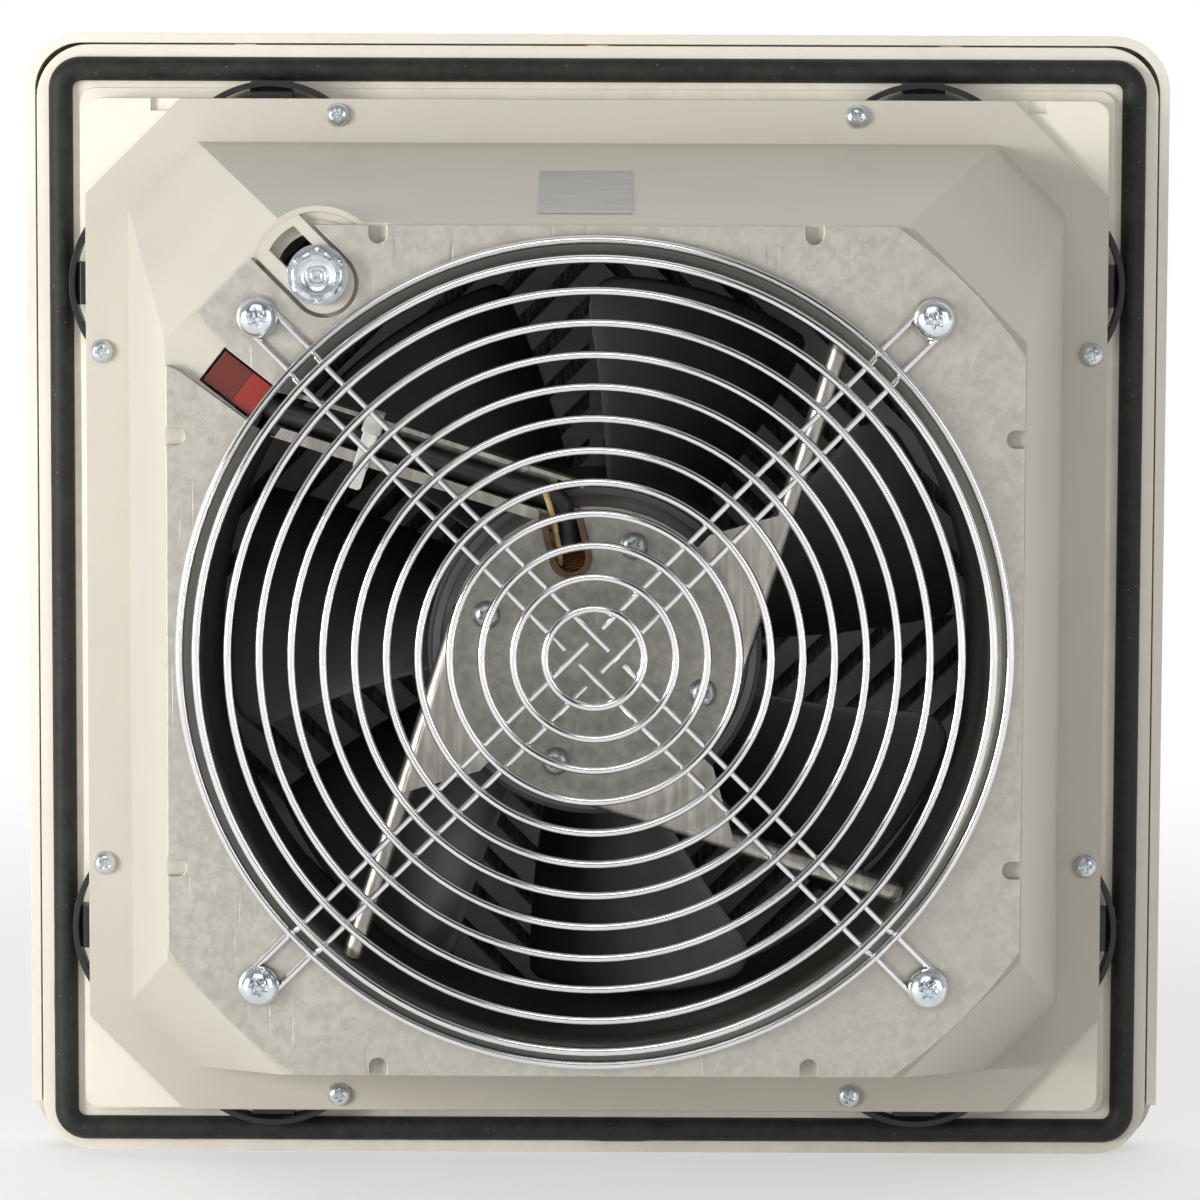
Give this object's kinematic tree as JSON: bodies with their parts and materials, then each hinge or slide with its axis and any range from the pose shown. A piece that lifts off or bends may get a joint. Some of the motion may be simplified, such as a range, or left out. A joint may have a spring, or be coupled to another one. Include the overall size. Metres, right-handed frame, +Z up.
{
  "type": "cabinet filter fan",
  "caption": "Square filter fan for a cabinet panel: louvred cover, snap-in frame, hood and a guarded axial fan with its motor.",
  "frame": {"origin": "centre of the flange's rear face, which lies on the cabinet panel", "axes": "+X right seen from behind, +Y out through the louvred cover, +Z up, so the hood and fan point to -Y"},
  "size_m": [0.325, 0.1632, 0.3218],
  "materials": {
    "cover_plastic": "fine texture",
    "frame_plastic": "satin",
    "gasket_rubber": "matt foam skin",
    "mat_fibre": "non-woven",
    "grid_plastic": "satin",
    "clip_plastic": "satin",
    "hood_plastic": "fine texture",
    "screw_zinc": "bright zinc",
    "label_foil": "satin foil",
    "bolt_zinc": "bright zinc",
    "cast_aluminium": "tumbled casting",
    "base_aluminium": "machined",
    "bearing_steel": "ground",
    "shaft_steel": "ground",
    "core_steel": "laminated",
    "winding_enamel": "enamelled wire",
    "cup_steel": "satin black",
    "impeller_black": "satin black",
    "guard_chrome": "bright plated wire",
    "connector_red": "gloss",
    "cable_sleeve": "braided sleeve",
    "lead_amber": "clear sleeve",
    "tie_white": "nylon",
    "grommet_tan": "soft"
  },
  "bodies": {
    "frame": {"base_frame": "frame_plastic", "flange_gasket": "gasket_rubber", "filter_mat": "mat_fibre", "support_grid": "grid_plastic", "fan_shroud": "hood_plastic", "shroud_screws": "screw_zinc", "rating_label": "label_foil", "earth_bolt": "bolt_zinc", "earth_washer": "bolt_zinc", "earth_nut": "bolt_zinc", "fan_housing": "cast_aluminium", "motor_screws": "screw_zinc", "stator_base": "base_aluminium", "bearing_rear": "bearing_steel", "bearing_front": "bearing_steel", "stator_core": "core_steel", "stator_windings": "winding_enamel", "finger_guard": "guard_chrome", "guard_screws": "bolt_zinc", "guard_nuts": "bolt_zinc", "connector_block": "connector_red", "motor_cable": "cable_sleeve", "motor_lead": "lead_amber", "cable_tie": "tie_white", "cable_grommet": "grommet_tan"},
    "cover": {"front_cover": "cover_plastic"},
    "rotor": {"rotor_shaft": "shaft_steel", "shaft_circlip": "core_steel", "rotor_core": "core_steel", "rotor_cup": "cup_steel", "impeller": "impeller_black", "impeller_rivets": "screw_zinc"},
    "clip_top_left_body": {"clip_top_left": "clip_plastic"},
    "clip_top_right_body": {"clip_top_right": "clip_plastic"},
    "clip_bottom_left_body": {"clip_bottom_left": "clip_plastic"},
    "clip_bottom_right_body": {"clip_bottom_right": "clip_plastic"},
    "clip_left_upper_body": {"clip_left_upper": "clip_plastic"},
    "clip_left_lower_body": {"clip_left_lower": "clip_plastic"},
    "clip_right_upper_body": {"clip_right_upper": "clip_plastic"},
    "clip_right_lower_body": {"clip_right_lower": "clip_plastic"}
  },
  "joints": [
    {"name": "impeller_spin", "type": "hinge", "parent": "frame", "child": "rotor", "pos_m": [0, -0.0895, 0], "axis": [0, 1, 0], "continuous": true},
    {"name": "cover_hinge", "type": "hinge", "parent": "frame", "child": "cover", "pos_m": [0, 0.0143, -0.14875], "axis": [-1, 0, 0], "range_deg": [0, 90]},
    {"name": "top_left_press", "type": "slide", "parent": "frame", "child": "clip_top_left_body", "axis": [0, 0, -1], "range_m": [0, 0.004], "stiffness_N_per_m": 400, "springref_m": -0.003},
    {"name": "top_right_press", "type": "slide", "parent": "frame", "child": "clip_top_right_body", "axis": [0, 0, -1], "range_m": [0, 0.004], "stiffness_N_per_m": 400, "springref_m": -0.003},
    {"name": "bottom_left_press", "type": "slide", "parent": "frame", "child": "clip_bottom_left_body", "axis": [0, 0, 1], "range_m": [0, 0.004], "stiffness_N_per_m": 400, "springref_m": -0.003},
    {"name": "bottom_right_press", "type": "slide", "parent": "frame", "child": "clip_bottom_right_body", "axis": [0, 0, 1], "range_m": [0, 0.004], "stiffness_N_per_m": 400, "springref_m": -0.003},
    {"name": "left_upper_press", "type": "slide", "parent": "frame", "child": "clip_left_upper_body", "axis": [1, 0, 0], "range_m": [0, 0.004], "stiffness_N_per_m": 400, "springref_m": -0.003},
    {"name": "left_lower_press", "type": "slide", "parent": "frame", "child": "clip_left_lower_body", "axis": [1, 0, 0], "range_m": [0, 0.004], "stiffness_N_per_m": 400, "springref_m": -0.003},
    {"name": "right_upper_press", "type": "slide", "parent": "frame", "child": "clip_right_upper_body", "axis": [-1, 0, 0], "range_m": [0, 0.004], "stiffness_N_per_m": 400, "springref_m": -0.003},
    {"name": "right_lower_press", "type": "slide", "parent": "frame", "child": "clip_right_lower_body", "axis": [-1, 0, 0], "range_m": [0, 0.004], "stiffness_N_per_m": 400, "springref_m": -0.003}
  ]
}
